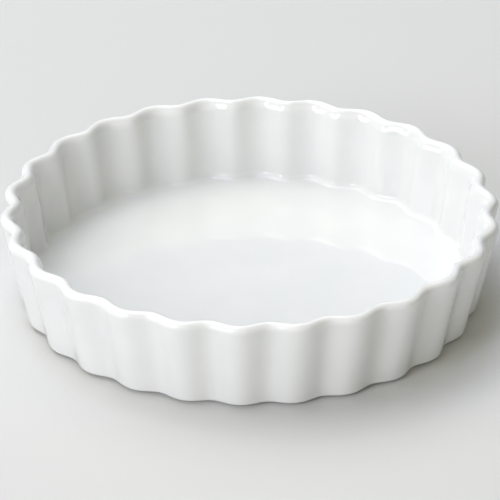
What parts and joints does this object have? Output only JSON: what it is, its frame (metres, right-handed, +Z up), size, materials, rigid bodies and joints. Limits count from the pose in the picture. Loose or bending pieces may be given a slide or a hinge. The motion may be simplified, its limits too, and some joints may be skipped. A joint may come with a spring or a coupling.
{
  "type": "fluted pie plate",
  "caption": "Round white porcelain pie plate with a leaning fluted wall, rounded rim, flat floor and bare foot ring, for baking and serving a pie, tart or quiche.",
  "frame": {"origin": "centre of the foot ring, on the plane that the dish stands on", "axes": "+Z up along the dish's axis, +X through a flute crest"},
  "size_m": [0.2564, 0.2544, 0.051],
  "materials": {
    "biscuit_porcelain": "bare fired porcelain, matt and very slightly grainy, seen only on the foot ring",
    "white_glaze": "clear glossy white glaze",
    "underside_white_glaze": "glossy white glaze, a little thinner and duller than on the inside"
  },
  "bodies": {
    "root": {"porcelain_body": "biscuit_porcelain", "glaze_coat": "white_glaze", "underside_glaze": "underside_white_glaze"}
  },
  "joints": []
}
